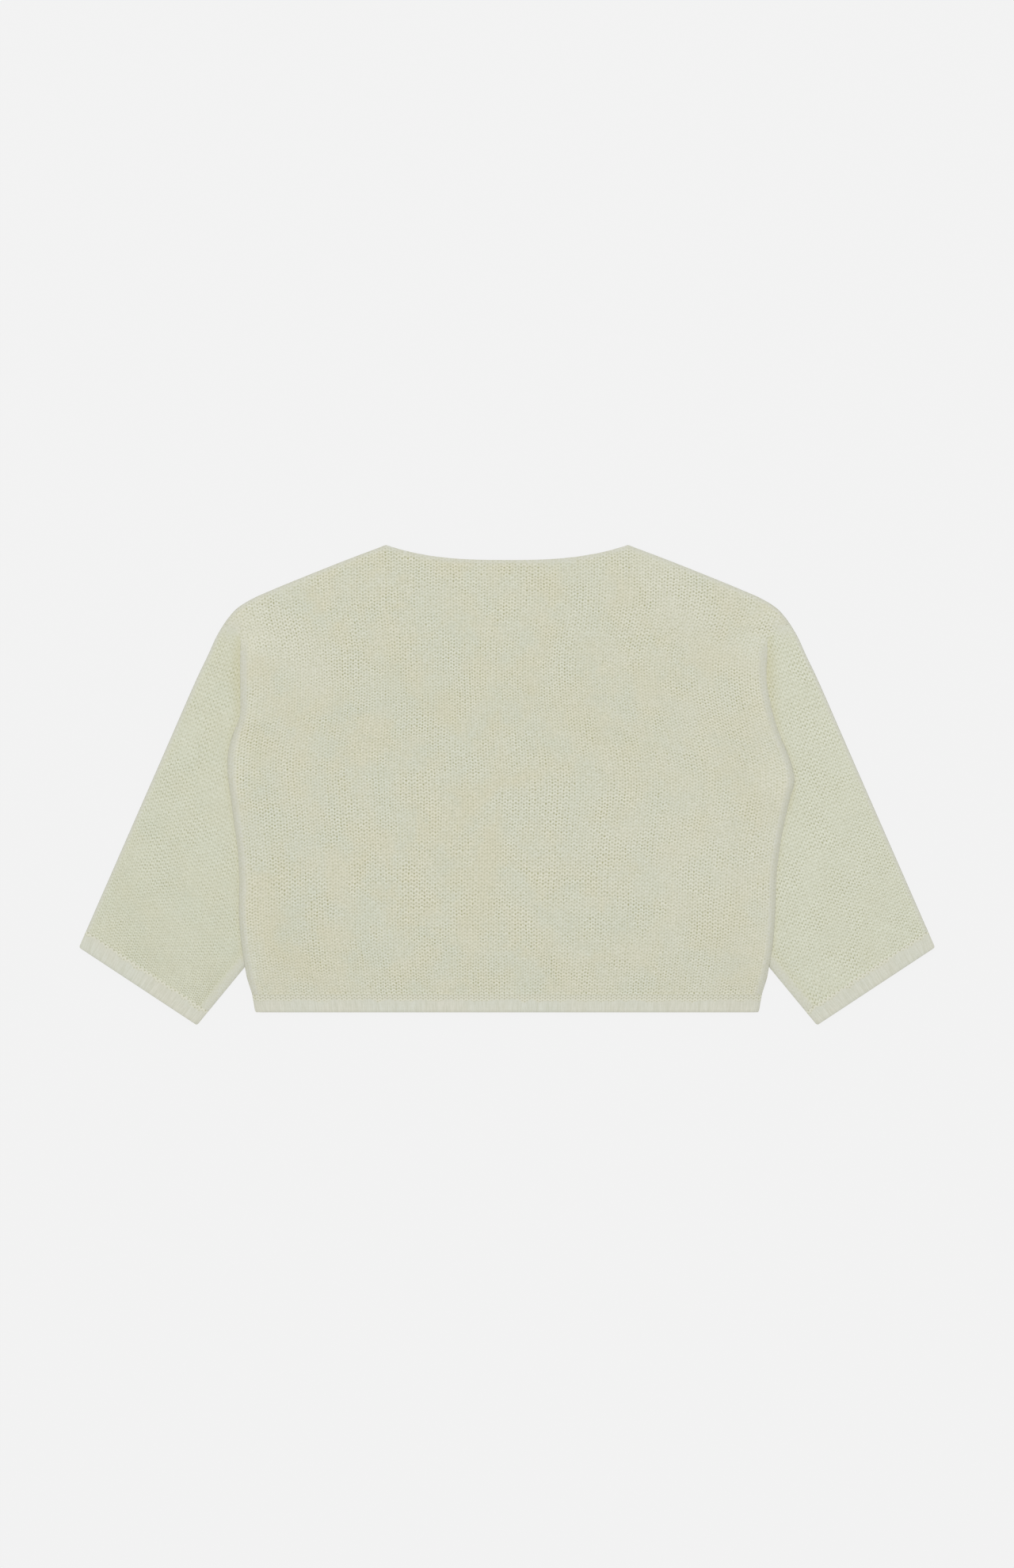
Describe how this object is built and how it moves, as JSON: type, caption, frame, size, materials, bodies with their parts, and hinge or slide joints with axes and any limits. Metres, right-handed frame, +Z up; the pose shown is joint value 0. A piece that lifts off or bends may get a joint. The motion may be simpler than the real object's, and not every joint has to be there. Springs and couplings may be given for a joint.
{
  "type": "pullover sweater",
  "caption": "Cropped boxy pullover in loose plain knit with a wide neck, three-quarter sleeves and ribbed hem and cuffs, laid flat with its sleeves down.",
  "frame": {"origin": "on the ground under the middle of the garment as it lies flat", "axes": "+X across the garment from cuff to cuff, to the right as seen from above; +Y from hem to neck; +Z up, out of the front"},
  "size_m": [0.9178, 0.5145, 0.0117],
  "materials": {
    "body_knit": "matte loose plain knit in pale green-cream yarn",
    "sleeve_knit": "matte loose plain knit in pale green-cream yarn",
    "rib_knit": "matte one-by-one rib in pale green-cream yarn"
  },
  "bodies": {
    "root": {"front_panel": "body_knit", "back_panel": "body_knit", "sleeve_left": "sleeve_knit", "sleeve_right": "sleeve_knit", "cuff_left": "rib_knit", "cuff_right": "rib_knit", "hem_front": "rib_knit", "hem_back": "rib_knit"}
  },
  "joints": []
}
